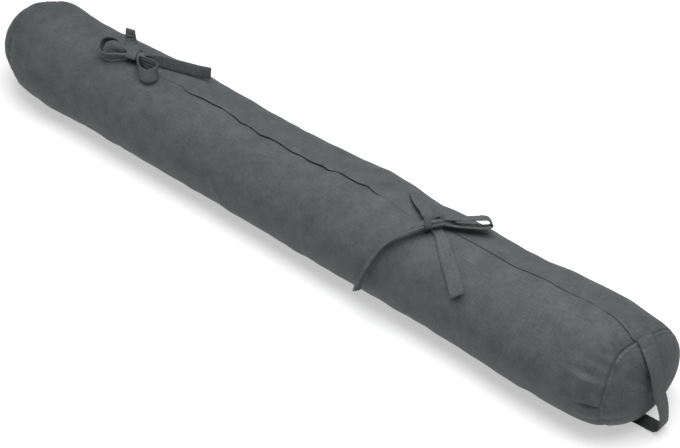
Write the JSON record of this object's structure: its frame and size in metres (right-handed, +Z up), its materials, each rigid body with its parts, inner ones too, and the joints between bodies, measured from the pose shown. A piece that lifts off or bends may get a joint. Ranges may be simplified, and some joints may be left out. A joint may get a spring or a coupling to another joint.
{
  "type": "draught excluder",
  "caption": "Long round canvas bolster that lies along the foot of a door, with crowned ends, a lapped opening along its top, a carry loop and straps knotted in bows.",
  "frame": {"origin": "on the flat strip of the underside, below the middle of the bolster", "axes": "+X along the bolster towards the end with the carry loop, +Z up, -Y to the side that faces the camera"},
  "size_m": [0.9085, 0.1369, 0.1348],
  "materials": {
    "canvas": "matte plain-woven cotton canvas, dark grey with a slight green cast",
    "strap_canvas": "the same canvas folded and stitched into flat straps"
  },
  "bodies": {
    "root": {"bolster_body": "canvas", "end_panel_near": "canvas", "end_panel_far": "canvas", "carry_loop": "strap_canvas", "near_tie_rear": "strap_canvas", "near_tie_front": "strap_canvas", "far_tie_rear": "strap_canvas", "far_tie_front": "strap_canvas"}
  },
  "joints": []
}
